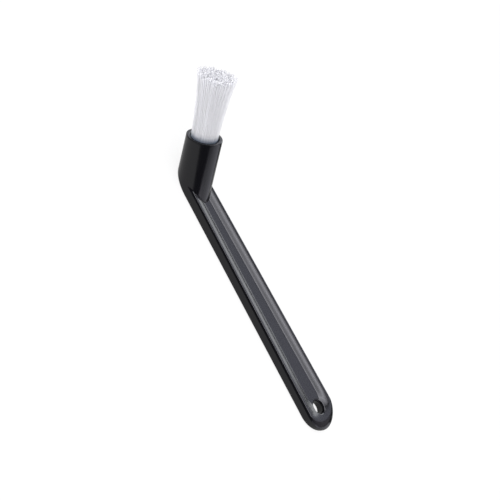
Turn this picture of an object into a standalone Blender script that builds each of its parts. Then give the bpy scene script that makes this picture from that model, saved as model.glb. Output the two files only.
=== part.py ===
"""Coffee machine cleaning brush: a moulded handle with a bent socket that holds one round nylon tuft.

Blender 4.5, metres, +Z up. The brush lies on its back: the flat underside of the handle is on z = 0,
the handle runs along X with the tuft towards +X, and the dished grip faces up. Y = 0 is the plane of
symmetry, and the origin is under the middle of the whole brush.
"""

import math
import random

import bmesh
import bpy
import numpy as np
from mathutils import Matrix, Vector

# Handle, seen from above. Lengths along X are counted from the centre of the round wide end.
END_RADIUS = 0.0115
NECK_HALF_WIDTH = 0.00863  # where the grip meets the socket
HEAD_LENGTH = 0.6  # of the half width: the oval end that the grip buries in the socket
BEND_X = 0.1237  # where the socket's axis meets the top face
HOLE_X = -0.0004
HOLE_RADIUS = 0.0035
END_THICKNESS = 0.0047
NECK_THICKNESS = 0.0050
TOP_EDGE = 0.0015  # how far the rounded upper edge drops along the flanks
NOSE_DROP = 0.33  # and how much more it drops where it is wider than that
LOW_EDGE = 0.0008
NOSE_SWELL = 2.5  # how much larger the lower edge's rounding is at the tip of the wide end

# Dish in the top face: a flat floor with a slope all round it, and oval at its end.
DISH_DEPTH = 0.0012
RIM_END_X = -0.0004
RIM_END_LENGTH = 0.0064
RIM_END_HALF_WIDTH = 0.0103
RIM_NECK_HALF_WIDTH = 0.0078
FLOOR_END_X = 0.0060
FLOOR_END_RADIUS = 0.0048
FLOOR_NECK_HALF_WIDTH = 0.0021
# How far in and how far down the slope has run: it leaves the rim level and steepens.
SLOPE_STEPS = ((0.33, 0.12), (0.66, 0.50))

# Socket
BEND_ANGLE = math.radians(46.3)
SOCKET_RADIUS = 0.00865
SOCKET_REACH = 0.0208  # from the top face to the mouth, along the axis
BORE_RADIUS = 0.0065
BORE_DEPTH = 0.0165
MOUTH_CHAMFER = 0.0004
BEND_RADIUS = 0.0045  # rounding of the bend's outer corner
CORNER_EASE = 0.002  # where that rounding runs into the socket's flanks

# Tuft
PLUG_DEPTH = 0.0045
BACKING_DEPTH = 0.0012
BAND_DEPTH = 0.0030
BAND_WALL = 0.0005
BUTT_RADIUS = 0.0053  # bundle of filaments where it is bound
MOUTH_BUNDLE_RADIUS = 0.0063
TIP_BUNDLE_RADIUS = 0.0101
EXPOSED_LENGTH = 0.0330
STRANDS = 380
STRAND_RADIUS = 0.00021
STRAND_SIDES = 3
LENGTH_SCATTER = 0.0012
FLARE_POWER = 1.5
FLARE_KNEE = 0.55  # of the exposed length: where each straight strand is kinked to follow the flare
BUNDLE_FILL = 0.97  # of the bundle's radius: where the outermost strands stand
ROOT_DEPTH = 0.6  # of the backing: how deep the strands run into it

GAP = 0.0003  # between pieces that touch
END_STEPS = 28  # straight runs in the half circle of the wide end
HEAD_STEPS = 12
EDGE_STEPS = 3
BEND_STEPS = 3
ROUND_STEPS = 64
HOLE_STEPS = 40
SEED = 7

BEND_TOP = BEND_RADIUS * (1 - math.cos(BEND_ANGLE))
BORE_FLOOR = SOCKET_REACH - BORE_DEPTH
BACKING_TOP = BORE_FLOOR + GAP + PLUG_DEPTH + GAP + BACKING_DEPTH
GOLDEN_ANGLE = math.pi * (3 - math.sqrt(5))


def clear_scene():
    for found in list(bpy.data.objects):
        bpy.data.objects.remove(found, do_unlink=True)


def make_collection(name):
    made = bpy.data.collections.new(name)
    bpy.context.scene.collection.children.link(made)
    return made


def make_material(name, colour, roughness, metallic=0.0):
    material = bpy.data.materials.new(name)
    material.use_nodes = True
    shader = material.node_tree.nodes["Principled BSDF"]
    shader.inputs["Base Color"].default_value = (*colour, 1.0)
    shader.inputs["Roughness"].default_value = roughness
    shader.inputs["Metallic"].default_value = metallic
    return material


def add_object(name, bm, collection, material=None):
    """Object from a bmesh, smooth shaded but sharp where faces meet at more than 35 degrees."""
    bmesh.ops.recalc_face_normals(bm, faces=bm.faces)
    mesh = bpy.data.meshes.new(name)
    bm.to_mesh(mesh)
    bm.free()
    mesh.shade_smooth()
    mesh.set_sharp_from_angle(angle=math.radians(35))
    if material:
        mesh.materials.append(material)
    made = bpy.data.objects.new(name, mesh)
    collection.objects.link(made)
    return made


def hide(cutter):
    cutter.hide_render = True
    cutter.display_type = "WIRE"


def add_boolean(target, other, operation):
    modifier = target.modifiers.new(f"{operation.lower()} {other.name}", "BOOLEAN")
    modifier.operation = operation
    modifier.solver = "EXACT"
    modifier.object = other


def socket_matrix():
    """Socket space, +Z along its axis and out of the mouth, origin where the axis meets the top face."""
    place = Vector((BEND_X, 0, NECK_THICKNESS))
    return Matrix.Translation(place) @ Matrix.Rotation(math.pi / 2 - BEND_ANGLE, 4, "Y")


def outline(end_x, end_length, end_half_width, neck_half_width, end_z, neck_z):
    """Closed outline of the handle: oval end, straight flanks, and a head that leans with the socket
    so that it stays inside it. Its height runs evenly from the wide end to the neck."""
    head_x = BEND_X + neck_z - NECK_THICKNESS
    head_length = HEAD_LENGTH * neck_half_width
    points = []
    for step in range(END_STEPS + 1):
        angle = math.pi / 2 + math.pi * step / END_STEPS
        points.append((end_x + end_length * math.cos(angle), end_half_width * math.sin(angle)))
    for step in range(HEAD_STEPS + 1):
        angle = -math.pi / 2 + math.pi * step / HEAD_STEPS
        points.append((head_x + head_length * math.cos(angle), neck_half_width * math.sin(angle)))
    return [(x, y, end_z + (neck_z - end_z) * x / BEND_X) for x, y in points]


def crown_point(outer, inner, angle):
    """Point on the quarter oval that rounds the upper edge, from the side up to the dish's rim."""
    width = math.hypot(outer[0] - inner[0], outer[1] - inner[1])
    drop = TOP_EDGE + NOSE_DROP * max(width - TOP_EDGE, 0)
    share = math.cos(angle)
    x, y = (near + (far - near) * share for near, far in zip(inner[:2], outer[:2]))
    z = inner[2] + (outer[2] - inner[2]) * share - drop * (1 - math.sin(angle))
    return x, y, z


def low_ring(angle):
    """Outline on the rounding of the lower edge, which swells towards the tip of the wide end."""
    inset = LOW_EDGE * (1 - math.sin(angle))
    height = LOW_EDGE * (1 - math.cos(angle))
    ring = outline(0, END_RADIUS - NOSE_SWELL * inset, END_RADIUS - inset, NECK_HALF_WIDTH - inset, 0, 0)
    return [(x, y, height * (1 + (NOSE_SWELL - 1) * max(-x / END_RADIUS, 0))) for x, y, _ in ring]


def slope_point(rim, floor, inward, down):
    """Point on the dish's slope, at a share of its width and a share of its depth."""
    x, y = (near + (far - near) * inward for near, far in zip(rim[:2], floor[:2]))
    return x, y, rim[2] + (floor[2] - rim[2]) * down


def grip_rings():
    """Outlines from the underside, up the side and down into the dish."""
    rings = [low_ring(math.pi / 2 * step / EDGE_STEPS) for step in range(EDGE_STEPS + 1)]
    side = outline(0, END_RADIUS, END_RADIUS, NECK_HALF_WIDTH, END_THICKNESS, NECK_THICKNESS)
    rim_end = (RIM_END_X, RIM_END_LENGTH, RIM_END_HALF_WIDTH)
    rim = outline(*rim_end, RIM_NECK_HALF_WIDTH, END_THICKNESS, NECK_THICKNESS)
    for step in range(EDGE_STEPS + 1):
        angle = math.pi / 2 * step / EDGE_STEPS
        rings.append([crown_point(*pair, angle) for pair in zip(side, rim)])
    levels = (END_THICKNESS - DISH_DEPTH, NECK_THICKNESS - DISH_DEPTH)
    floor = outline(FLOOR_END_X, FLOOR_END_RADIUS, FLOOR_END_RADIUS, FLOOR_NECK_HALF_WIDTH, *levels)
    for inward, down in SLOPE_STEPS:
        rings.append([slope_point(*pair, inward, down) for pair in zip(rim, floor)])
    rings.append(floor)
    return rings


def loft(bm, rings):
    """Skin over rings of equally many points, closed by a face at each end."""
    loops = [[bm.verts.new(point) for point in ring] for ring in rings]
    for lower, upper in zip(loops, loops[1:]):
        for index in range(len(lower)):
            after = (index + 1) % len(lower)
            bm.faces.new((lower[index], lower[after], upper[after], upper[index]))
    bm.faces.new(loops[0][::-1])
    bm.faces.new(loops[-1])


def make_grip(collection, material):
    """The dished grip: a loft through nested outlines, closed by the underside and the dish's floor."""
    bm = bmesh.new()
    loft(bm, grip_rings())
    return add_object("handle", bm, collection, material)


def turned(name, profile, collection, material=None):
    """Solid of revolution in socket space, from a closed profile of (radius, height) points."""
    bm = bmesh.new()
    verts = [bm.verts.new((radius, 0, height)) for radius, height in profile]
    edges = [bm.edges.new(pair) for pair in zip(verts, verts[1:])]
    bmesh.ops.spin(
        bm,
        geom=verts + edges,
        cent=(0, 0, 0),
        axis=(0, 0, 1),
        angle=2 * math.pi,
        steps=ROUND_STEPS,
        use_merge=True,
    )
    bmesh.ops.remove_doubles(bm, verts=bm.verts, dist=1e-6)
    bmesh.ops.transform(bm, matrix=socket_matrix(), verts=bm.verts)
    return add_object(name, bm, collection, material)


def soft_min(first, second, reach):
    """The lower of two numbers, eased where they come within reach of each other."""
    near = max(reach - abs(first - second), 0)
    return min(first, second) - near * near / (4 * reach)


def level_section(z, inset):
    """Section of the socket at a low level: an ellipse, cut off by the rounded outside of the bend."""
    middle_x = BEND_X + (z - NECK_THICKNESS) / math.tan(BEND_ANGLE)
    half_length = (SOCKET_RADIUS - inset) / math.sin(BEND_ANGLE)
    bottom_x = BEND_X + (SOCKET_RADIUS - NECK_THICKNESS * math.cos(BEND_ANGLE)) / math.sin(BEND_ANGLE)
    tangent_x = bottom_x - BEND_RADIUS * math.tan(BEND_ANGLE / 2)
    limit = tangent_x + math.sqrt(BEND_RADIUS**2 - (BEND_RADIUS - z) ** 2)
    reach = CORNER_EASE * (1.01 - z / BEND_TOP)
    points = []
    for step in range(ROUND_STEPS):
        angle = math.tau * step / ROUND_STEPS
        x = soft_min(middle_x + half_length * math.cos(angle), limit, reach)
        points.append((x, (SOCKET_RADIUS - inset) * math.sin(angle), z))
    return points


def cross_section(radius, height):
    """Circle round the socket's axis, at a height in socket space."""
    place = socket_matrix()
    angles = [math.tau * step / ROUND_STEPS for step in range(ROUND_STEPS)]
    return [place @ Vector((radius * math.cos(turn), radius * math.sin(turn), height)) for turn in angles]


def make_socket_blank(cutters):
    """The socket before it is bored: level sections round the bend, then straight up to an eased mouth."""
    rings = []
    for step in range(EDGE_STEPS + 1):
        angle = math.pi / 2 * step / EDGE_STEPS
        rings.append(level_section(LOW_EDGE * (1 - math.cos(angle)), LOW_EDGE * (1 - math.sin(angle))))
    for step in range(1, BEND_STEPS + 1):
        rings.append(level_section(LOW_EDGE + (BEND_TOP - LOW_EDGE) * step / BEND_STEPS, 0))
    rings.append(cross_section(SOCKET_RADIUS, SOCKET_REACH - MOUTH_CHAMFER))
    rings.append(cross_section(SOCKET_RADIUS - MOUTH_CHAMFER, SOCKET_REACH))
    bm = bmesh.new()
    loft(bm, rings)
    blank = add_object("socket_blank", bm, cutters)
    hide(blank)
    return blank


def make_bore(cutters):
    """Cutter for the blind bore, opening out a little at the mouth."""
    profile = [
        (0, BORE_FLOOR),
        (BORE_RADIUS, BORE_FLOOR),
        (BORE_RADIUS, SOCKET_REACH - MOUTH_CHAMFER),
        (BORE_RADIUS + 2 * MOUTH_CHAMFER, SOCKET_REACH + MOUTH_CHAMFER),
        (0, SOCKET_REACH + MOUTH_CHAMFER),
    ]
    bore = turned("socket_bore", profile, cutters)
    hide(bore)
    return bore


def make_hole_cutter(cutters):
    """Straight round hole through both faces of the wide end."""
    bm = bmesh.new()
    bmesh.ops.create_cone(
        bm,
        cap_ends=True,
        segments=HOLE_STEPS,
        radius1=HOLE_RADIUS,
        radius2=HOLE_RADIUS,
        depth=4 * NECK_THICKNESS,
        matrix=Matrix.Translation((HOLE_X, 0, 0)),
    )
    hole = add_object("hanging_hole", bm, cutters)
    hide(hole)
    return hole


def make_handle(collection, cutters, material):
    """Grip and socket in one piece, with the bore and the hanging hole cut out."""
    handle = make_grip(collection, material)
    add_boolean(handle, make_socket_blank(cutters), "UNION")
    add_boolean(handle, make_bore(cutters), "DIFFERENCE")
    add_boolean(handle, make_hole_cutter(cutters), "DIFFERENCE")
    return handle


def make_resin_plug(collection, material):
    low = BORE_FLOOR + GAP
    radius = BORE_RADIUS - GAP
    profile = [(0, low), (radius, low), (radius, low + PLUG_DEPTH), (0, low + PLUG_DEPTH)]
    return turned("tuft_resin", profile, collection, material)


def make_band(collection, material):
    """Thin ring that binds the bundle just above the resin."""
    inner = BORE_RADIUS - GAP - BAND_WALL
    outer = BORE_RADIUS - GAP
    low = BACKING_TOP + GAP
    high = low + BAND_DEPTH
    profile = [(inner, low), (outer, low), (outer, high), (inner, high), (inner, low)]
    return turned("tuft_band", profile, collection, material)


def bundle_radius(height):
    """Radius of the whole bundle at a height above the backing: straight to the mouth, then flared."""
    mouth = SOCKET_REACH - BACKING_TOP
    if height < mouth:
        return BUTT_RADIUS + (MOUTH_BUNDLE_RADIUS - BUTT_RADIUS) * max(height, 0) / mouth
    share = (height - mouth) / EXPOSED_LENGTH
    return MOUTH_BUNDLE_RADIUS + (TIP_BUNDLE_RADIUS - MOUTH_BUNDLE_RADIUS) * share**FLARE_POWER


def add_strand(bm, share, angle, length, twist):
    """One filament: a three-sided prism that starts inside the backing and keeps its share of the radius."""
    mouth = SOCKET_REACH - BACKING_TOP
    heights = (-ROOT_DEPTH * BACKING_DEPTH, mouth + FLARE_KNEE * EXPOSED_LENGTH, length)
    rings = []
    for height in heights:
        radius = share * bundle_radius(height)
        centre = Vector((radius * math.cos(angle), radius * math.sin(angle), BACKING_TOP + height))
        turns = [twist + math.tau * side / STRAND_SIDES for side in range(STRAND_SIDES)]
        rings.append([centre + STRAND_RADIUS * Vector((math.cos(t), math.sin(t), 0)) for t in turns])
    loft(bm, rings)


def make_strands(cutters):
    """All filaments, spread evenly over the round bundle by the golden angle."""
    scatter = random.Random(SEED)
    bm = bmesh.new()
    full = SOCKET_REACH - BACKING_TOP + EXPOSED_LENGTH
    for index in range(STRANDS):
        share = BUNDLE_FILL * math.sqrt((index + 0.5) / STRANDS)
        length = full - scatter.uniform(0, LENGTH_SCATTER)
        add_strand(bm, share, index * GOLDEN_ANGLE, length, scatter.uniform(0, math.tau))
    bmesh.ops.transform(bm, matrix=socket_matrix(), verts=bm.verts)
    strands = add_object("loose_strands", bm, cutters)
    hide(strands)
    return strands


def make_bristles(collection, cutters, material):
    """The tuft: every filament fused into a thin slice of its backing."""
    radius = BORE_RADIUS - GAP
    low = BACKING_TOP - BACKING_DEPTH
    profile = [(0, low), (radius, low), (radius, BACKING_TOP), (0, BACKING_TOP)]
    bristles = turned("bristles", profile, collection, material)
    add_boolean(bristles, make_strands(cutters), "UNION")
    return bristles


def world_extent_x(parts):
    """Lowest and highest X of the finished parts."""
    graph = bpy.context.evaluated_depsgraph_get()
    found = []
    for part in parts:
        mesh = part.evaluated_get(graph).to_mesh()
        points = np.empty(len(mesh.vertices) * 3)
        mesh.vertices.foreach_get("co", points)
        found += [points[::3].min(), points[::3].max()]
    return min(found), max(found)


def centre_brush(parts, cutters, collection):
    """Parents everything to one empty, which puts the middle of the brush over the origin."""
    bpy.context.view_layer.update()
    low, high = world_extent_x(parts)
    frame = bpy.data.objects.new("brush_frame", None)
    collection.objects.link(frame)
    frame.location.x = -(low + high) / 2
    for child in [*parts, *cutters.objects]:
        child.parent = frame
    print(f"wide end's centre at x = {frame.location.x * 1000:.3f} mm, length {(high - low) * 1000:.2f} mm")


def main():
    clear_scene()
    brush = make_collection("coffee_machine_cleaning_brush")
    cutters = make_collection("cutters")
    black = make_material("black_polypropylene", (0.012, 0.012, 0.014), 0.28)
    nylon = make_material("white_nylon", (0.86, 0.88, 0.90), 0.35)
    resin = make_material("potting_resin", (0.55, 0.50, 0.38), 0.4)
    tin = make_material("tinned_steel", (0.62, 0.62, 0.60), 0.35, 1.0)
    parts = [
        make_handle(brush, cutters, black),
        make_resin_plug(brush, resin),
        make_band(brush, tin),
        make_bristles(brush, cutters, nylon),
    ]
    centre_brush(parts, cutters, brush)


main()
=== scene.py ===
"""Looks of the coffee machine cleaning brush: moulded handle, nylon tuft, hidden binding and studio.

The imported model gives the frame. The brush's own sizes are in millimetres, counted along X from the centre
of the handle's round wide end, and are turned to the frame's metres when a mesh is made. The studio's sizes
are in metres.
"""

import logging
import math
from collections.abc import Callable
from dataclasses import dataclass, field
from enum import Enum

import bmesh
import bpy
import numpy as np
from mathutils import Matrix, Vector

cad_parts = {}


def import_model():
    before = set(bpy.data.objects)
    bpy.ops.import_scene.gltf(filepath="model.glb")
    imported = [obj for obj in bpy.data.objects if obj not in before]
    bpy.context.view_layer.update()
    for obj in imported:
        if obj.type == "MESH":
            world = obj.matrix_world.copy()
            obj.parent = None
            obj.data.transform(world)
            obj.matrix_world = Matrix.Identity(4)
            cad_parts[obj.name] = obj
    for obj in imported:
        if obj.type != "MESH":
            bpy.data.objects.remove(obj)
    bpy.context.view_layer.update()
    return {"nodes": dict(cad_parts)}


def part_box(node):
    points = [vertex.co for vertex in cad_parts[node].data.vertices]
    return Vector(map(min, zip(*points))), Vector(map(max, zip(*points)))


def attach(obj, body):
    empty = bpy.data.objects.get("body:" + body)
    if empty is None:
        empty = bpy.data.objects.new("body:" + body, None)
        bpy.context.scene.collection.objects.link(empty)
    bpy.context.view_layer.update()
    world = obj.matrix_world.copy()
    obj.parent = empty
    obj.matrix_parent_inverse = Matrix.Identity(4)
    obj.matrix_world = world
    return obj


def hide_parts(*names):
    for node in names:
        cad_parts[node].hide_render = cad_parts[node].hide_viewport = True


LOG = logging.getLogger("cleaning_brush")
MM = 0.001
GOLDEN_ANGLE = math.pi * (3 - math.sqrt(5))
TINY = 1e-6  # keeps divisors off zero
WHITE = (1.0, 1.0, 1.0, 1.0)
# The last value is painted shade: how much of the socket's shade each point of a strand gets.
STRAND_VALUES = ("strand_tone", "strand_end", "strand_painted_shade")  # what the tuft's mesh tells its material


def linear(hex_colour: str) -> tuple[float, float, float, float]:
    """Linear colour from an sRGB hex value.

    Args:
        hex_colour: Six hex digits after a hash sign.

    Returns:
        Red, green, blue and alpha, each from 0 to 1.
    """
    channels = [int(hex_colour[i : i + 2], 16) / 255 for i in (1, 3, 5)]
    red, green, blue = (c / 12.92 if c <= 0.04045 else ((c + 0.055) / 1.055) ** 2.4 for c in channels)
    return red, green, blue, 1.0


def add_node(
    tree: bpy.types.NodeTree,
    kind: str,
    inputs: dict[str, object] | None = None,
    links: dict[str, bpy.types.NodeSocket] | None = None,
    **settings: object,
) -> bpy.types.Node:
    """Adds a node with its settings, input values and links.

    Args:
        tree: The tree that the node goes into.
        kind: The node's type name.
        inputs: Values by socket name.
        links: Sockets that feed this node, by socket name.
        settings: Properties of the node itself.

    Returns:
        The new node.
    """
    node = tree.nodes.new(kind)
    for name, value in settings.items():
        setattr(node, name, value)
    for name, value in (inputs or {}).items():
        node.inputs[name].default_value = value
    for name, socket in (links or {}).items():
        tree.links.new(socket, node.inputs[name])
    return node


def new_material(name: str) -> tuple[bpy.types.Material, bpy.types.Node]:
    """Makes a material with a bare Principled shader.

    Args:
        name: The material's name.

    Returns:
        The material and its shader node.
    """
    material = bpy.data.materials.new(name)
    material.use_nodes = True
    return material, material.node_tree.nodes["Principled BSDF"]


def add_noise(
    tree: bpy.types.NodeTree,
    place: bpy.types.NodeSocket,
    patch_mm: float,
    inputs: dict[str, float],
) -> bpy.types.NodeSocket:
    """Adds a noise texture.

    Args:
        tree: The material's tree.
        place: The coordinates that it is sampled at.
        patch_mm: Size of its patches.
        inputs: Its other values by socket name.

    Returns:
        The noise, from 0 to 1.
    """
    values = {"Scale": 1 / (patch_mm * MM), **inputs}
    return add_node(tree, "ShaderNodeTexNoise", values, {"Vector": place}).outputs["Fac"]


def mix_colours(
    tree: bpy.types.NodeTree,
    share: bpy.types.NodeSocket,
    first: bpy.types.NodeSocket | str,
    second: str,
) -> bpy.types.NodeSocket:
    """Mixes two colours.

    Args:
        tree: The material's tree.
        share: The second colour's share, from 0 to 1.
        first: The first colour, as a hex value or as another node's output.
        second: The second colour, as a hex value.

    Returns:
        The mixed colour.
    """
    inputs, links = {"B": linear(second)}, {"Factor": share}
    if isinstance(first, str):
        inputs["A"] = linear(first)
    else:
        links["A"] = first
    return add_node(tree, "ShaderNodeMix", inputs, links, data_type="RGBA").outputs["Result"]


def vary_roughness(
    tree: bpy.types.NodeTree,
    shader: bpy.types.Node,
    share: bpy.types.NodeSocket,
    low: float,
    high: float,
) -> None:
    """Lets a shader's roughness follow a value.

    Args:
        tree: The material's tree.
        shader: The shader.
        share: The value, from 0 for the lowest roughness to 1 for the highest.
        low: The lowest roughness.
        high: The highest roughness.
    """
    spread = add_node(tree, "ShaderNodeMapRange", {"To Min": low, "To Max": high}, {"Value": share})
    tree.links.new(spread.outputs["Result"], shader.inputs["Roughness"])


def add_relief(
    tree: bpy.types.NodeTree,
    shader: bpy.types.Node,
    height: bpy.types.NodeSocket,
    depth_mm: float,
    strength: float = 1.0,
) -> None:
    """Gives a shader a relief that is too fine for the mesh.

    Args:
        tree: The material's tree.
        shader: The shader.
        height: The relief's height, from 0 to 1.
        depth_mm: How deep the relief is.
        strength: How much of it shows.
    """
    values = {"Strength": strength, "Distance": depth_mm * MM}
    bump = add_node(tree, "ShaderNodeBump", values, {"Height": height})
    tree.links.new(bump.outputs["Normal"], shader.inputs["Normal"])


def glowing_material(name: str, colour: str, glow: float) -> tuple[bpy.types.Material, bpy.types.Node]:
    """Makes a dull material that gives off even white light.

    Args:
        name: The material's name.
        colour: The colour that it scatters, as a hex value.
        glow: The strength of its light.

    Returns:
        The material and its shader node.
    """
    material, shader = new_material(name)
    shader.inputs["Base Color"].default_value = linear(colour)
    shader.inputs["Specular IOR Level"].default_value = 0.0
    shader.inputs["Emission Color"].default_value = WHITE
    shader.inputs["Emission Strength"].default_value = glow
    return material, shader


def finished_mesh(name: str, edited: bmesh.types.BMesh) -> bpy.types.Mesh:
    """Turns an edited mesh into a finished one and frees it.

    Args:
        name: The finished mesh's name.
        edited: The edited mesh.

    Returns:
        The finished mesh.
    """
    mesh = bpy.data.meshes.new(name)
    edited.to_mesh(mesh)
    edited.free()
    return mesh


def mesh_object(name: str, mesh: bpy.types.Mesh, material: bpy.types.Material) -> bpy.types.Object:
    """Puts a mesh into the scene with one material.

    Args:
        name: The object's name.
        mesh: Its mesh, in metres.
        material: Its material.

    Returns:
        The new object.
    """
    mesh.materials.append(material)
    made = bpy.data.objects.new(name, mesh)
    bpy.context.scene.collection.objects.link(made)
    return made


@dataclass(frozen=True)
class MouldedPolypropylene:
    """Polypropylene with carbon black, injection moulded in a polished tool.

    The eye sees a deep black whose shape is told by reflections alone: clear, with softened borders, and
    very slightly uneven where the melt flowed and shrank.
    """

    colour: str = "#0c0c0f"
    ior: float = 1.49
    roughness: float = 0.17
    roughness_swing: float = 0.05
    flow_mm: float = 6.0
    flow_stretch: float = 4.0
    peel_mm: float = 0.9
    peel_depth_mm: float = 0.0012

    def make(self) -> bpy.types.Material:
        """Builds the material."""
        material, shader = new_material("moulded_black_polypropylene")
        tree = material.node_tree
        shader.inputs["Base Color"].default_value = linear(self.colour)
        shader.inputs["IOR"].default_value = self.ior
        place = add_node(tree, "ShaderNodeTexCoord").outputs["Object"]
        stretch = {"Scale": (1 / self.flow_stretch, 1.0, 1.0)}
        along = add_node(tree, "ShaderNodeMapping", stretch, {"Vector": place}).outputs["Vector"]
        flow = add_noise(tree, along, self.flow_mm, {"Detail": 3.0, "Roughness": 0.6})
        low, high = self.roughness - self.roughness_swing, self.roughness + self.roughness_swing
        vary_roughness(tree, shader, flow, low, high)
        peel = add_noise(tree, place, self.peel_mm, {"Detail": 2.0})
        add_relief(tree, shader, peel, self.peel_depth_mm)
        return material


@dataclass(frozen=True)
class DrawnNylon:
    """Nylon 6.6 monofilament, drawn, crimp free and cut square.

    The eye sees a cool white that light soaks into, with a fine gloss along each strand and a greyer cut
    end, where one looks down the length of the strand.
    """

    colour: str = "#f5f5fa"
    shaded: str = "#f1f1f7"
    cut_end: str = "#a6a6b0"
    # Painted shade: the bluish grey that the strands take on just above the socket's mouth, where the socket
    # shades them.
    painted_socket_shade: str = "#586880"
    ior: float = 1.53
    roughness: float = 0.38
    roughness_swing: float = 0.06
    soak_mm: float = 3.0
    soak_share: float = 0.8

    def make(self) -> bpy.types.Material:
        """Builds the material. The mesh gives each strand's tone, its cut end and how much painted shade of
        the socket it gets.
        """
        material, shader = new_material("drawn_white_nylon")
        tree = material.node_tree
        tone, end, painted_shade = (
            add_node(tree, "ShaderNodeAttribute", attribute_name=name).outputs["Fac"]
            for name in STRAND_VALUES
        )
        body = mix_colours(tree, tone, self.colour, self.shaded)
        tipped = mix_colours(tree, end, body, self.cut_end)
        # Painted shade: the strands turn bluish grey near the socket's mouth.
        shade = mix_colours(tree, painted_shade, tipped, self.painted_socket_shade)
        tree.links.new(shade, shader.inputs["Base Color"])
        low, high = self.roughness - self.roughness_swing, self.roughness + self.roughness_swing
        vary_roughness(tree, shader, tone, low, high)
        shader.inputs["IOR"].default_value = self.ior
        shader.inputs["Subsurface Weight"].default_value = self.soak_share
        shader.inputs["Subsurface Radius"].default_value = (1.0, 1.0, 1.0)
        shader.inputs["Subsurface Scale"].default_value = self.soak_mm * MM
        return material


@dataclass(frozen=True)
class TinnedStrip:
    """Thin steel strip, tinned and cold rolled.

    The eye sees a soft grey metal with a fine, even grain.
    """

    colour: str = "#c9c8c4"
    roughness: float = 0.34
    roughness_drop: float = 0.08
    roughness_rise: float = 0.1
    grain_mm: float = 0.12
    grain_depth_mm: float = 0.004
    grain_strength: float = 0.5

    def make(self) -> bpy.types.Material:
        """Builds the material. The grain is coarser than a real strip's, so that it shows."""
        material, shader = new_material("tinned_steel_strip")
        tree = material.node_tree
        shader.inputs["Base Color"].default_value = linear(self.colour)
        shader.inputs["Metallic"].default_value = 1.0
        place = add_node(tree, "ShaderNodeTexCoord").outputs["Object"]
        grain = add_noise(tree, place, self.grain_mm, {"Detail": 2.0})
        low, high = self.roughness - self.roughness_drop, self.roughness + self.roughness_rise
        vary_roughness(tree, shader, grain, low, high)
        add_relief(tree, shader, grain, self.grain_depth_mm, self.grain_strength)
        return material


@dataclass(frozen=True)
class PottingResin:
    """Epoxy resin, poured round the butts of the filaments and cured.

    The eye sees a cloudy amber with a smooth skin and a few darker swirls.
    """

    colour: str = "#c4b48c"
    swirl: str = "#9c8a62"
    ior: float = 1.55
    roughness: float = 0.25
    swirl_mm: float = 2.5

    def make(self) -> bpy.types.Material:
        """Builds the material."""
        material, shader = new_material("cured_epoxy_resin")
        tree = material.node_tree
        place = add_node(tree, "ShaderNodeTexCoord").outputs["Object"]
        swirl = add_noise(tree, place, self.swirl_mm, {"Detail": 4.0, "Distortion": 0.8})
        mixed = mix_colours(tree, swirl, self.colour, self.swirl)
        tree.links.new(mixed, shader.inputs["Base Color"])
        shader.inputs["IOR"].default_value = self.ior
        shader.inputs["Roughness"].default_value = self.roughness
        return material


Field = Callable[[np.ndarray], np.ndarray]


@dataclass(frozen=True)
class Tongue:
    """Outline with an oval end towards -X and straight flanks that run on towards +X. Sizes in mm."""

    centre: float
    length: float
    half_width: float
    neck_half_width: float
    neck_x: float

    def distance(self, x: np.ndarray, y: np.ndarray) -> np.ndarray:
        """Distance to the outline, negative inside and closest to true near the outline.

        Args:
            x: Places along the handle.
            y: Places across it.

        Returns:
            The distance at each place.
        """
        across = np.abs(y)
        back = np.minimum(x - self.centre, 0)
        level = np.hypot(back / self.length, across / self.half_width)
        slope = np.hypot(back / self.length**2, across / self.half_width**2)
        oval = level * (level - 1) / np.maximum(slope, TINY)
        taper = (self.half_width - self.neck_half_width) / (self.neck_x - self.centre)
        flank = across - self.half_width + taper * (x - self.centre)
        return np.where(x < self.centre, oval, flank)


def rounded_meet(first: np.ndarray, second: np.ndarray, radius: np.ndarray | float) -> np.ndarray:
    """What two solids share, with the edge between them rounded.

    Args:
        first: Distance to the first solid.
        second: Distance to the second solid.
        radius: Radius of the rounding.

    Returns:
        Distance to the shared solid.
    """
    low = np.minimum(np.maximum(first, second), -radius)
    return low + np.hypot(np.maximum(first + radius, 0), np.maximum(second + radius, 0))


def filleted_join(first: np.ndarray, second: np.ndarray, radius: np.ndarray | float) -> np.ndarray:
    """Two solids joined, with a fillet of the given radius in the corner between them.

    Args:
        first: Distance to the first solid.
        second: Distance to the second solid.
        radius: Radius of the fillet.

    Returns:
        Distance to the joined solid.
    """
    high = np.maximum(np.minimum(first, second), radius)
    return high - np.hypot(np.maximum(radius - first, 0), np.maximum(radius - second, 0))


def ease(value: np.ndarray, low: float, high: float) -> np.ndarray:
    """Smooth step from 0 to 1.

    Args:
        value: Where the step is read.
        low: Up to here it is 0.
        high: From here on it is 1.

    Returns:
        The step at each value.
    """
    share = np.clip((value - low) / (high - low), 0, 1)
    return share * share * (3 - 2 * share)


def slopes(shape: Field, points: np.ndarray, step: float = 0.02) -> np.ndarray:
    """Gradient of a distance field by central differences.

    Args:
        shape: The field.
        points: Places, one in each row.
        step: Half the distance between the two samples.

    Returns:
        The gradient at each place.
    """
    found = np.empty_like(points)
    for axis in range(3):
        shift = np.zeros(3)
        shift[axis] = step
        found[:, axis] = (shape(points + shift) - shape(points - shift)) / (2 * step)
    return found


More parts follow.
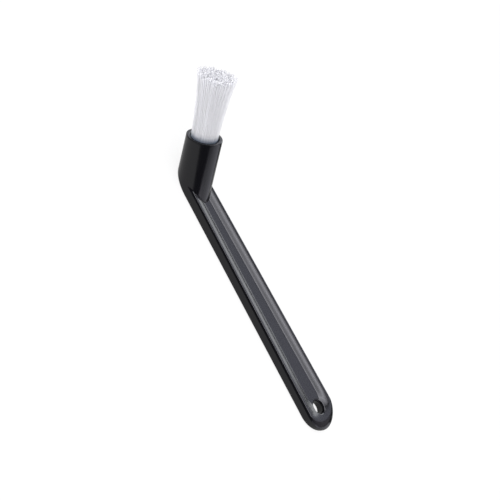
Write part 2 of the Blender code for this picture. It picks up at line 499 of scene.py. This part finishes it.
@dataclass
class SurfaceNet:
    """Closed mesh round a distance field, with a point in each grid cell that the surface crosses.

    Each point is then pulled onto the surface a few times. Where the field is nearly level, the pull is
    held back as if the square of its slope were the least one given here.
    """

    shape: Field
    levels: tuple[np.ndarray, np.ndarray, np.ndarray]
    pulls: int = 5
    least_square_slope: float = 0.05

    def sample(self) -> np.ndarray:
        """Samples the field, one slice at a time.

        Returns:
            The field at every grid point.
        """
        xs, ys, zs = self.levels
        across, up = np.meshgrid(ys, zs, indexing="ij")
        values = np.empty((len(xs), len(ys), len(zs)))
        for index, x in enumerate(xs):
            points = np.stack([np.full(across.size, x), across.ravel(), up.ravel()], axis=1)
            values[index] = self.shape(points).reshape(across.shape)
        return values

    def cell_points(self, values: np.ndarray) -> tuple[np.ndarray, np.ndarray]:
        """Mean of the crossings on each cell's edges.

        Args:
            values: The field at the grid points.

        Returns:
            The number of each cell's point, or -1, and the points.
        """
        shape = tuple(size - 1 for size in values.shape)
        total = np.zeros((*shape, 3))
        count = np.zeros(shape)
        grids = np.meshgrid(*self.levels, indexing="ij")
        for axis in range(3):
            low = np.moveaxis(values, axis, 0)[:-1]
            high = np.moveaxis(values, axis, 0)[1:]
            crossed = (low < 0) != (high < 0)
            share = np.where(crossed, low / np.where(crossed, low - high, 1), 0)
            place = np.stack([np.moveaxis(grid, axis, 0)[:-1] for grid in grids], axis=-1)
            steps = np.diff(self.levels[axis]).reshape(-1, 1, 1)
            place[..., axis] += share * steps
            place = np.moveaxis(place * crossed[..., None], 0, axis)
            crossed = np.moveaxis(crossed, 0, axis)
            others = [other for other in range(3) if other != axis]
            for first in (0, 1):
                for second in (0, 1):
                    cut = [slice(None)] * 3
                    cut[others[0]] = slice(first, first + shape[others[0]])
                    cut[others[1]] = slice(second, second + shape[others[1]])
                    total += place[tuple(cut)]
                    count += crossed[tuple(cut)]
        used = count > 0
        numbers = np.full(shape, -1)
        numbers[used] = np.arange(np.count_nonzero(used))
        return numbers, total[used] / count[used][:, None]

    def faces(self, values: np.ndarray, numbers: np.ndarray) -> np.ndarray:
        """One square for each grid edge that crosses the surface.

        Args:
            values: The field at the grid points.
            numbers: The number of each cell's point.

        Returns:
            Four point numbers for each face.
        """
        found = []
        for axis in range(3):
            grid = np.moveaxis(values, (axis, (axis + 1) % 3, (axis + 2) % 3), (0, 1, 2))
            cells = np.moveaxis(numbers, (axis, (axis + 1) % 3, (axis + 2) % 3), (0, 1, 2))
            low, high = grid[:-1, 1:-1, 1:-1], grid[1:, 1:-1, 1:-1]
            for leaving in (True, False):
                place = np.nonzero((low < 0) & (high >= 0) if leaving else (low >= 0) & (high < 0))
                a, b, c = place[0], place[1], place[2]
                square = [cells[a, b, c], cells[a, b + 1, c], cells[a, b + 1, c + 1], cells[a, b, c + 1]]
                found.append(np.stack(square if leaving else square[::-1], axis=1))
        return np.concatenate(found)

    def build(self, name: str, place: Callable[[np.ndarray], np.ndarray]) -> bpy.types.Mesh:
        """Makes the mesh, with the field's own slopes as its normals.

        Args:
            name: The mesh's name.
            place: Turns points of the field to the frame's metres.

        Returns:
            The mesh.
        """
        values = self.sample()
        numbers, points = self.cell_points(values)
        faces = self.faces(values, numbers)
        for _ in range(self.pulls):
            slope = slopes(self.shape, points)
            size = np.maximum(np.sum(slope * slope, axis=1), self.least_square_slope)
            points = points - (self.shape(points) / size)[:, None] * slope
        slope = slopes(self.shape, points)
        normals = slope / np.maximum(np.linalg.norm(slope, axis=1), TINY)[:, None]
        mesh = bpy.data.meshes.new(name)
        mesh.from_pydata(place(points).tolist(), [], faces.tolist())
        mesh.shade_smooth()
        mesh.normals_split_custom_set_from_vertices(normals.tolist())
        return mesh


@dataclass
class Handle:
    """One moulding: the dished grip, the bend, and the socket that the tuft stands in. Sizes in mm.

    A pair of places is where a rounding begins to change and where it has changed in full, and in
    plain_grip it is where the grid's planes stand further apart.
    """

    origin_x: float
    end_radius: float = 11.5
    socket_radius: float = 8.65
    flank_end_x: float = 122.0
    bend_x: float = 123.7
    bend_angle: float = math.radians(46.3)
    end_thickness: float = 4.72
    neck_thickness: float = 5.0
    top_edge: float = 1.5
    nose_drop: float = 0.33
    low_edge: float = 0.8
    nose_swell: float = 1.5
    dish_depth: float = 1.26
    crown_width: float = 4.0
    crown_share: float = 0.8
    least_slope_width: float = 0.1
    floor_crease: float = 0.3
    least_nose_width: float = 0.3
    flank_blend: float = 3.0
    rim: Tongue = Tongue(-0.4, 6.4, 10.3, 7.8, 123.7)
    floor: Tongue = Tongue(6.0, 5.0, 4.7, 2.2, 123.7)
    socket_reach: float = 20.8
    bore_radius: float = 6.5
    bore_floor: float = 4.3
    mouth_edge: float = 0.3
    bore_edge: float = 0.8
    outer_bend: float = 0.35
    least_radial: float = 0.1
    least_fillet: float = 0.02
    junction_fillet: float = 0.3
    fillet_across: tuple[float, float] = (6.6, 8.3)
    fillet_up: tuple[float, float] = (1.5, 3.0)
    hole_x: float = -0.4
    hole_radius: float = 3.3
    hole_low_edge: float = 0.3
    hole_top_edge: float = 0.9
    hole_edge_up: tuple[float, float] = (1.0, 2.5)
    grid_step: float = 0.3
    quick_grid_step: float = 0.5
    plain_grid_step: float = 1.5
    plain_grip: tuple[float, float] = (17.0, 104.0)
    grid_margin: float = 1.0
    lowest_plane: float = -0.83
    finish: MouldedPolypropylene = field(default_factory=MouldedPolypropylene)

    @property
    def axis(self) -> np.ndarray:
        """Direction out of the socket's mouth."""
        return np.array([math.cos(self.bend_angle), 0, math.sin(self.bend_angle)])

    @property
    def crossing(self) -> np.ndarray:
        """Where the socket's axis meets the grip's top face."""
        return np.array([self.bend_x, 0, self.neck_thickness])

    def to_frame(self, points: np.ndarray) -> np.ndarray:
        """Turns points to the frame's metres.

        Args:
            points: Places in mm, one in each row.

        Returns:
            The same places in the frame.
        """
        return (points + np.array([self.origin_x, 0, 0])) * MM

    def top_face(self, x: np.ndarray, y: np.ndarray) -> np.ndarray:
        """Height of the top face with its dish, which leaves the rim level and steepens to an even slope.

        Args:
            x: Places along the handle.
            y: Places across it.

        Returns:
            The heights.
        """
        top = self.end_thickness + (self.neck_thickness - self.end_thickness) * x / self.bend_x
        rim = self.rim.distance(x, y)
        floor = self.floor.distance(x, y)
        inward = np.maximum(-rim, 0)
        width = np.maximum(floor - rim, self.least_slope_width)
        crown = np.minimum(self.crown_width, self.crown_share * width)
        run = np.where(inward < crown, inward * inward / (2 * crown), inward - crown / 2)
        beyond = (np.sqrt(floor * floor + self.floor_crease**2) - floor) / 2
        return top - self.dish_depth * np.clip((run - beyond) / (width - crown / 2), 0, 1)

    def rounded_top(self, x: np.ndarray, y: np.ndarray, z: np.ndarray, outline: np.ndarray) -> np.ndarray:
        """Distance to what lies below the top face, inside the outline.

        The edge between them is a quarter of an oval. It starts at the dish's rim, so that it is tight
        along the flanks and becomes a broad nose at the wide end.

        Args:
            x: Places along the handle.
            y: Places across it.
            z: Heights.
            outline: Distance to the handle's outline at each place.

        Returns:
            The distances.
        """
        rim = self.rim.distance(x, y)
        over = z - self.top_face(x, y)
        width = np.maximum(rim - outline, self.least_nose_width)
        drop = self.top_edge + self.nose_drop * (width - self.top_edge)
        out, up = np.maximum(rim / width, 0), np.maximum(over / drop + 1, 0)
        level = np.hypot(out, up)
        edge = (level - 1) * level / np.maximum(np.hypot(out / width, up / drop), TINY)
        return np.where(level > 0, edge, np.maximum(outline, over))

    def grip(self, x: np.ndarray, y: np.ndarray, z: np.ndarray) -> np.ndarray:
        """Distance to the grip, which ends inside the socket along its widest lines.

        Args:
            x: Places along the handle.
            y: Places across it.
            z: Heights.

        Returns:
            The distances.
        """
        taper = (self.end_radius - self.socket_radius) / self.flank_end_x
        left = self.flank_end_x - x
        width = self.socket_radius + taper * (left + np.sqrt(left * left + self.flank_blend**2)) / 2
        flank = np.abs(y) - width
        outline = np.where(x < 0, np.hypot(x, y) - self.end_radius, flank)
        upper = self.rounded_top(x, y, z, outline)
        swell = 1 + self.nose_swell * np.clip(-x / self.end_radius, 0, 1)
        lower = rounded_meet(outline, -z, self.low_edge * swell)
        cut = (x - self.bend_x) * self.axis[2] - (z - self.neck_thickness) * self.axis[0]
        return np.maximum(np.maximum(upper, lower), cut)

    def shape(self, points: np.ndarray) -> np.ndarray:
        """Distance to the whole moulding.

        Args:
            points: Places in mm, one in each row.

        Returns:
            The distance at each place, negative inside.
        """
        x, y, z = points.T
        offset = points - self.crossing
        height = offset @ self.axis
        outward = offset[:, 0] * self.axis[2] - offset[:, 2] * self.axis[0]
        radial = np.hypot(outward, y)
        socket = rounded_meet(radial - self.socket_radius, height - self.socket_reach, self.mouth_edge)
        downward = np.clip(outward / np.maximum(radial, self.least_radial), 0, 1)
        socket = rounded_meet(socket, -z, self.low_edge + self.outer_bend * downward)
        inward = 1 - ease(np.abs(y), *self.fillet_across)
        fillet = self.least_fillet + self.junction_fillet * inward * ease(z, *self.fillet_up)
        solid = filleted_join(self.grip(x, y, z), socket, fillet)
        bore = np.maximum(radial - self.bore_radius, self.bore_floor - height)
        solid = rounded_meet(solid, -bore, self.bore_edge)
        hole = np.hypot(x - self.hole_x, y) - self.hole_radius
        upward = ease(z, *self.hole_edge_up)
        edge = self.hole_low_edge + (self.hole_top_edge - self.hole_low_edge) * upward
        return rounded_meet(solid, -hole, edge)

    def levels(self) -> tuple[np.ndarray, np.ndarray, np.ndarray]:
        """Grid planes: close at the hole and round the socket, and further apart along the plain grip.

        Returns:
            The planes' places along X, Y and Z. None lies in the flat underside or the middle plane.
        """
        fine = self.grid_step
        margin = self.grid_margin
        plain_from, plain_to = self.plain_grip
        end = np.arange(-self.end_radius - margin, plain_from, fine)
        grip = np.arange(plain_from + fine, plain_to, self.plain_grid_step)
        head = np.arange(plain_to + fine, self.bend_x + self.socket_reach + 2 * margin, fine)
        half = np.arange(fine / 2, self.end_radius + margin, fine)
        across = np.concatenate([-half[::-1], half])
        up = np.arange(self.lowest_plane, self.neck_thickness + self.socket_reach + margin, fine)
        return np.concatenate([end, grip, head]), across, up

    def build(self) -> bpy.types.Object:
        """Makes the moulding and dresses it.

        Returns:
            The object, riding on the frame in place of its CAD node.
        """
        mesh = SurfaceNet(self.shape, self.levels()).build("moulded_handle", self.to_frame)
        made = mesh_object("moulded_handle", mesh, self.finish.make())
        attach(made, "root")
        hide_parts("handle")
        return made


@dataclass
class Tuft:
    """Round bundle of cut nylon strands that stands in the socket and flares at its tips. Sizes in mm.

    Rings count along a strand: from -1 at its root to 0 at the socket's mouth and 1 at its tip. The strands
    are thicker than the space between their centre lines, so that most of them overlap below the tips.
    """

    handle: Handle
    strands: int = 1100
    strand_radius: float = 0.2
    sides: int = 6
    rings: tuple[float, ...] = (-1.0, -0.05, 0.03, 0.07, 0.12, 0.2, 0.33, 0.46, 0.6, 0.74, 0.87, 0.98, 1.0)
    end_length: float = 0.04
    end_share: float = 0.75
    root: float = 9.4
    tips: float = 54.05
    root_radius: float = 5.7
    mouth_radius: float = 6.42
    spread: float = 2.1
    curl: float = 1.75
    curl_power: float = 4.0
    fill: float = 0.975
    root_scatter: float = 0.2
    lean: float = 0.6
    lean_power: float = 0.7
    length_scatter: float = 2.2
    length_power: float = 0.7
    tuft_waves: float = 0.45
    bump_waves: tuple[tuple[float, float], ...] = ((9.0, 4.0), (-3.0, 11.0))
    bump_phases: tuple[float, ...] = (1.0, 0.0)
    wander: float = 0.045
    clump: float = 0.02
    clump_waves: int = 4
    clump_range: tuple[float, float] = (1.5, 4.5)
    wander_power: float = 1.5
    droop: float = 1.8
    end_tone_power: float = 1.5
    shadow_depth: float = 3.4
    shadow_power: float = 1.5
    seed: int = 11
    finish: DrawnNylon = field(default_factory=DrawnNylon)

    def bundle_radius(self, height: np.ndarray) -> np.ndarray:
        """Radius of the bundle.

        Args:
            height: Places along the socket's axis.

        Returns:
            The radius at each place.
        """
        mouth = self.handle.socket_reach
        inside = np.clip((height - self.root) / (mouth - self.root), 0, 1)
        outside = np.clip((height - mouth) / (self.tips - mouth), 0, 1)
        grown = self.root_radius + (self.mouth_radius - self.root_radius) * inside
        return grown + self.spread * outside + self.curl * outside**self.curl_power

    def centre_lines(self) -> np.ndarray:
        """Centre line of every strand in socket space, fanned out so that neighbours stay neighbours.

        Returns:
            Points by strand and ring.
        """
        random = np.random.default_rng(self.seed)
        number = np.arange(self.strands)
        share = self.fill * np.sqrt((number + 0.5) / self.strands)
        turn = number * GOLDEN_ANGLE
        root = np.stack([share * np.cos(turn), share * np.sin(turn)], axis=1)
        root += random.normal(0, self.root_scatter / math.sqrt(self.strands), root.shape)
        lines = np.empty((self.strands, len(self.rings), 3))
        wander = random.normal(0, self.wander, (self.strands, 2))
        several = (self.clump_waves, 2)
        waves = random.uniform(*self.clump_range, several) * random.choice([-1, 1], several)
        phases = random.uniform(0, math.tau, several)
        drift = np.zeros_like(root)
        for wave, phase in zip(waves, phases):
            drift += np.sin((root @ wave)[:, None] + phase) / math.sqrt(self.clump_waves)
        shorter = random.uniform(0, 1, self.strands) ** self.length_power
        lengths = self.tips - self.length_scatter * shorter
        lengths -= self.droop * np.maximum(-root[:, 1], 0)
        bumps = np.zeros(self.strands)
        for wave, phase in zip(self.bump_waves, self.bump_phases):
            bumps += np.sin(root @ np.array(wave) + phase)
        lengths -= self.tuft_waves * (1 + bumps / len(self.bump_waves))
        mouth = self.handle.socket_reach
        for ring, step in enumerate(self.rings):
            reach = lengths - mouth if step > 0 else np.full(self.strands, mouth - self.root)
            height = mouth + reach * step
            out = np.clip((height - mouth) / (self.tips - mouth), 0, 1)
            across = root * self.bundle_radius(height)[:, None]
            across += (drift * self.clump + wander) * (out**self.wander_power)[:, None]
            across[:, 0] += self.lean * out**self.lean_power
            lines[:, ring, :2] = across
            lines[:, ring, 2] = height
        return lines

    def rods(self, lines: np.ndarray) -> tuple[np.ndarray, list[list[int]]]:
        """Round rods, thinner at their last ring.

        Args:
            lines: Centre lines by strand and ring.

        Returns:
            The rods' points, one in each row, and the point numbers of their faces.
        """
        radii = np.full(lines.shape[1], self.strand_radius)
        radii[-1] *= self.end_share
        along = np.gradient(lines, axis=1)
        along /= np.linalg.norm(along, axis=2, keepdims=True)
        side = np.cross(along, np.array([0, 1.0, 0]))
        side /= np.linalg.norm(side, axis=2, keepdims=True)
        other = np.cross(along, side)
        angles = math.tau * np.arange(self.sides) / self.sides
        ring = side[:, :, None] * np.cos(angles)[None, None, :, None]
        ring = ring + other[:, :, None] * np.sin(angles)[None, None, :, None]
        points = lines[:, :, None] + ring * radii[None, :, None, None]
        count, rings = lines.shape[:2]
        index = np.arange(count * rings * self.sides).reshape(count, rings, self.sides)
        after = np.roll(index, -1, axis=2)
        walls = np.stack([index[:, :-1], after[:, :-1], after[:, 1:], index[:, 1:]], axis=-1)
        faces = walls.reshape(-1, 4).tolist() + index[:, 0, ::-1].tolist() + index[:, -1].tolist()
        return points.reshape(-1, 3), faces

    def build(self) -> bpy.types.Object:
        """Makes the strands as round rods with eased ends and dresses them.

        Returns:
            The object, riding on the frame in place of its CAD node.
        """
        lines = self.centre_lines()
        last = lines[:, -1:, :]
        direction = last - lines[:, -2:-1, :]
        direction /= np.linalg.norm(direction, axis=2, keepdims=True)
        lines = np.concatenate([lines, last + direction * self.end_length], axis=1)
        points, faces = self.rods(lines)
        axis = self.handle.axis
        across = np.array([axis[2], 0, -axis[0]])
        basis = np.stack([across, [0, 1.0, 0], axis])
        placed = self.handle.to_frame(self.handle.crossing + points @ basis)
        mesh = bpy.data.meshes.new("nylon_tuft")
        mesh.from_pydata(placed.tolist(), [], faces)
        mesh.shade_smooth()
        self.mark(mesh, lines)
        made = mesh_object("nylon_tuft", mesh, self.finish.make())
        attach(made, "root")
        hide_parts("bristles")
        return made

    def mark(self, mesh: bpy.types.Mesh, lines: np.ndarray) -> None:
        """Stores each strand's tone, its cut end and the painted shade of the socket, for the material.

        Args:
            mesh: The tuft's mesh.
            lines: Centre lines by strand and ring.
        """
        random = np.random.default_rng(self.seed + 1)
        count, rings = lines.shape[:2]
        tone = np.repeat(random.uniform(0, 1, count), rings * self.sides)
        near_end = np.zeros((count, rings, self.sides))
        near_end[:, -2:] = random.uniform(0, 1, (count, 1, 1)) ** self.end_tone_power
        # Painted shade of the socket: full at and below its mouth, fading out over shadow_depth above it.
        above = np.clip((lines[:, :, 2] - self.handle.socket_reach) / self.shadow_depth, 0, 1)
        painted_shade = np.repeat((1 - above) ** self.shadow_power, self.sides, axis=1)
        for name, values in zip(STRAND_VALUES, (tone, near_end, painted_shade)):
            layer = mesh.attributes.new(name, "FLOAT", "POINT")
            layer.data.foreach_set("value", values.ravel().astype(np.float32))


@dataclass
class Binding:
    """The hidden band and resin that hold the butts of the strands. Both are the CAD's own solids."""

    band_finish: TinnedStrip = field(default_factory=TinnedStrip)
    resin_finish: PottingResin = field(default_factory=PottingResin)

    def dress(self, nodes: dict[str, bpy.types.Object]) -> None:
        """Gives the two CAD nodes their finishes.

        Args:
            nodes: The frame's nodes by name.
        """
        for name, finish in (("tuft_band", self.band_finish), ("tuft_resin", self.resin_finish)):
            nodes[name].material_slots[0].material = finish.make()


class Shows(Enum):
    """What may see a light."""

    GLOSS = "glossy surfaces only"
    FILL = "all but glossy surfaces"


@dataclass(frozen=True)
class SoftLight:
    """A soft box: a rectangle of even light that faces the brush. Its shift is along the handle."""

    name: str
    towards: tuple[float, float, float]
    distance: float
    size: tuple[float, float]
    radiance: float
    colour: str = "#ffffff"
    shift: float = 0.0
    shows: Shows = Shows.GLOSS

    def build(self, target: Vector) -> bpy.types.Object:
        """Hangs the soft box.

        Args:
            target: The point that it faces.

        Returns:
            The light's object.
        """
        data = bpy.data.lights.new(self.name, "AREA")
        data.shape = "RECTANGLE"
        data.size, data.size_y = self.size
        data.energy = self.radiance * math.pi * self.size[0] * self.size[1]
        data.color = linear(self.colour)[:3]
        made = bpy.data.objects.new(self.name, data)
        bpy.context.scene.collection.objects.link(made)
        away = Vector(self.towards).normalized()
        made.location = target + away * self.distance + Vector((self.shift, 0, 0))
        made.rotation_euler = away.to_track_quat("Z", "Y").to_euler()
        made.visible_camera = False
        made.visible_glossy = self.shows is Shows.GLOSS
        made.visible_diffuse = self.shows is Shows.FILL
        return made


@dataclass(frozen=True)
class StudioCamera:
    """The photograph's view of the brush.

    The camera looks at a point near the middle of the brush, which falls at aim_px in a square picture.
    Its angles are in degrees: towards the tuft, up from the floor, and the roll that makes the brush lean.
    """

    nose_to_target_mm: float = 89.5
    target_height: float = 0.005
    distance: float = 0.9
    side_angle: float = 5.88
    up_angle: float = 34.45
    roll_angle: float = 28.56
    scale_px_mm: float = 2.131
    picture_px: float = 500.0
    aim_px: tuple[float, float] = (242.02, 261.42)
    sensor_mm: float = 36.0
    clip: tuple[float, float] = (0.05, 20.0)

    def build(self) -> bpy.types.Object:
        """Sets up the camera and makes it the scene's own.

        Returns:
            The camera's object.
        """
        target = Vector((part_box("handle")[0][0] + self.nose_to_target_mm * MM, 0.0, self.target_height))
        side, upward, roll = (math.radians(a) for a in (self.side_angle, self.up_angle, self.roll_angle))
        level = math.cos(side)
        back = Vector((math.sin(side), level * math.cos(upward), level * math.sin(upward)))
        along = (Vector((1, 0, 0)) - back * back.x).normalized()
        across = along.cross(back)
        right = across * math.cos(roll) - along * math.sin(roll)
        up = along * math.cos(roll) + across * math.sin(roll)
        data = bpy.data.cameras.new("studio_camera")
        data.sensor_width = self.sensor_mm
        data.lens = self.scale_px_mm * self.distance / MM / self.picture_px * data.sensor_width
        middle = self.picture_px / 2
        data.shift_x = (middle - self.aim_px[0]) / self.picture_px
        data.shift_y = (self.aim_px[1] - middle) / self.picture_px
        data.clip_start, data.clip_end = self.clip
        camera = bpy.data.objects.new("studio_camera", data)
        bpy.context.scene.collection.objects.link(camera)
        turn = Matrix((right, up, back)).transposed().to_4x4()
        camera.matrix_world = Matrix.Translation(target + back * self.distance) @ turn
        bpy.context.scene.camera = camera
        return camera


@dataclass
class Studio:
    """Pale floor, soft light and the camera."""

    floor_radius: float = 3.0
    floor_height: float = -0.0002
    floor_glow: float = 0.84
    floor_colour: str = "#6a6a6a"
    mirror_radius: float = 0.105
    mirror_height: float = -0.0004
    mirror_shift: float = -0.015
    mirror_glow: float = 0.56
    mirror_colour: str = "#000000"
    disc_sides: int = 96
    disc_roughness: float = 0.9
    shell_radius: float = 4.5
    shell_colour: str = "#000000"
    shell_glow: float = 1.0
    sky_glow: float = 1.05
    lit_point: tuple[float, float, float] = (0.0, 0.0, 0.01)
    camera: StudioCamera = StudioCamera()
    lights: tuple[SoftLight, ...] = (
        SoftLight("soft_box_steep", (0.0, -0.350, 0.937), 1.2, (1.2, 0.19), 4.4, "#f6f6ff", 0.18),
        SoftLight("soft_box_bright", (0.0, -0.469, 0.883), 1.2, (1.2, 0.115), 6.2, "#f6f6ff", 0.2),
        SoftLight("soft_box_high", (0.0, -0.545, 0.839), 1.2, (1.2, 0.12), 4.1, "#f6f6ff", 0.2),
        SoftLight("soft_box_low", (0.0, -0.629, 0.777), 1.2, (1.2, 0.13), 2.3, "#f6f6ff", 0.2),
        SoftLight("backdrop_middle", (0.0, -0.839, 0.545), 1.5, (1.3, 0.46), 0.98, "#e8ebff", 0.18),
        SoftLight("backdrop_low", (0.0, -0.951, 0.309), 1.5, (1.2, 0.47), 2.35, "#f8fbff", 0.26),
        SoftLight("horizon_strip", (0.0, -0.999, 0.04), 1.45, (1.3, 0.32), 1.1, "#f8fbff", 0.3),
        SoftLight("horizon_end", (0.0, -0.999, 0.04), 1.45, (0.44, 0.32), 0.6, "#f8fbff", -0.58),
        SoftLight("mouth_card", (0.557, -0.820, 0.128), 1.3, (0.5, 0.5), 0.95, "#f0f2ff"),
        SoftLight("side_panel", (-0.94, -0.34, 0.16), 1.2, (1.68, 0.52), 0.95, "#f4f4ff"),
        SoftLight("nose_panel", (-0.61, -0.43, 0.67), 1.3, (1.4, 0.9), 0.45, "#f6f0ff"),
        SoftLight("nose_card", (-0.88, 0.43, 0.21), 0.08, (0.075, 0.07), 0.65, "#f2ecff", -0.085),
        SoftLight("front_fill", (0.1, 0.8, 0.6), 1.4, (1.6, 1.6), 2.3, "#fafaff", shows=Shows.FILL),
    )

    def build_disc(
        self, name: str, radius: float, height: float, colour: str, glow: float
    ) -> bpy.types.Object:
        """Lays a round, dull piece of floor that glows white.

        Args:
            name: The piece's name.
            radius: Its radius.
            height: Its height.
            colour: The colour that it scatters.
            glow: The light that it gives off.

        Returns:
            The stage piece.
        """
        material, shader = glowing_material(name, colour, glow)
        shader.inputs["Roughness"].default_value = self.disc_roughness
        bm = bmesh.new()
        bmesh.ops.create_circle(bm, cap_ends=True, radius=radius, segments=self.disc_sides)
        disc = mesh_object(name, finished_mesh(name, bm), material)
        disc.location.z = height
        return disc

    def build_floor(self) -> None:
        """Lays the pale floor. Black plastic mirrors a smaller, dimmer disc just below it instead."""
        floor = self.build_disc(
            "studio_floor", self.floor_radius, self.floor_height, self.floor_colour, self.floor_glow
        )
        floor.visible_glossy = False
        mirrored = self.build_disc(
            "mirrored_floor", self.mirror_radius, self.mirror_height, self.mirror_colour, self.mirror_glow
        )
        mirrored.location.x = self.mirror_shift
        mirrored.visible_camera = False
        mirrored.visible_diffuse = False

    def build_sky(self) -> None:
        """Even light from all round that no reflection shows, behind a pale shell for the camera."""
        world = bpy.data.worlds.new("studio_tent")
        world.use_nodes = True
        background = world.node_tree.nodes["Background"]
        background.inputs["Color"].default_value = WHITE
        background.inputs["Strength"].default_value = self.sky_glow
        world.cycles_visibility.glossy = False
        bpy.context.scene.world = world
        material, _ = glowing_material("pale_backdrop", self.shell_colour, self.shell_glow)
        bm = bmesh.new()
        bmesh.ops.create_icosphere(bm, subdivisions=4, radius=self.shell_radius)
        bmesh.ops.reverse_faces(bm, faces=bm.faces)
        shell = mesh_object("pale_backdrop", finished_mesh("pale_backdrop", bm), material)
        shell.visible_diffuse = False
        shell.visible_glossy = False
        shell.visible_transmission = False
        shell.visible_shadow = False

    def build(self) -> None:
        """Builds the floor, the surroundings, the lights and the camera."""
        self.build_floor()
        self.build_sky()
        for light in self.lights:
            light.build(Vector(self.lit_point))
        self.camera.build()
        bpy.context.scene.view_settings.view_transform = "Standard"


def main() -> None:
    logging.basicConfig(level=logging.INFO, format="%(name)s: %(message)s")
    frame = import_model()
    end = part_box("handle")[0][0] / MM
    handle = Handle(origin_x=end + Handle.end_radius)
    pieces = [handle.build(), Tuft(handle).build()]
    Binding().dress(frame["nodes"])
    for piece in pieces:
        LOG.info("%s: %d faces", piece.name, len(piece.data.polygons))
    Studio().build()


if __name__ == "__main__":
    main()
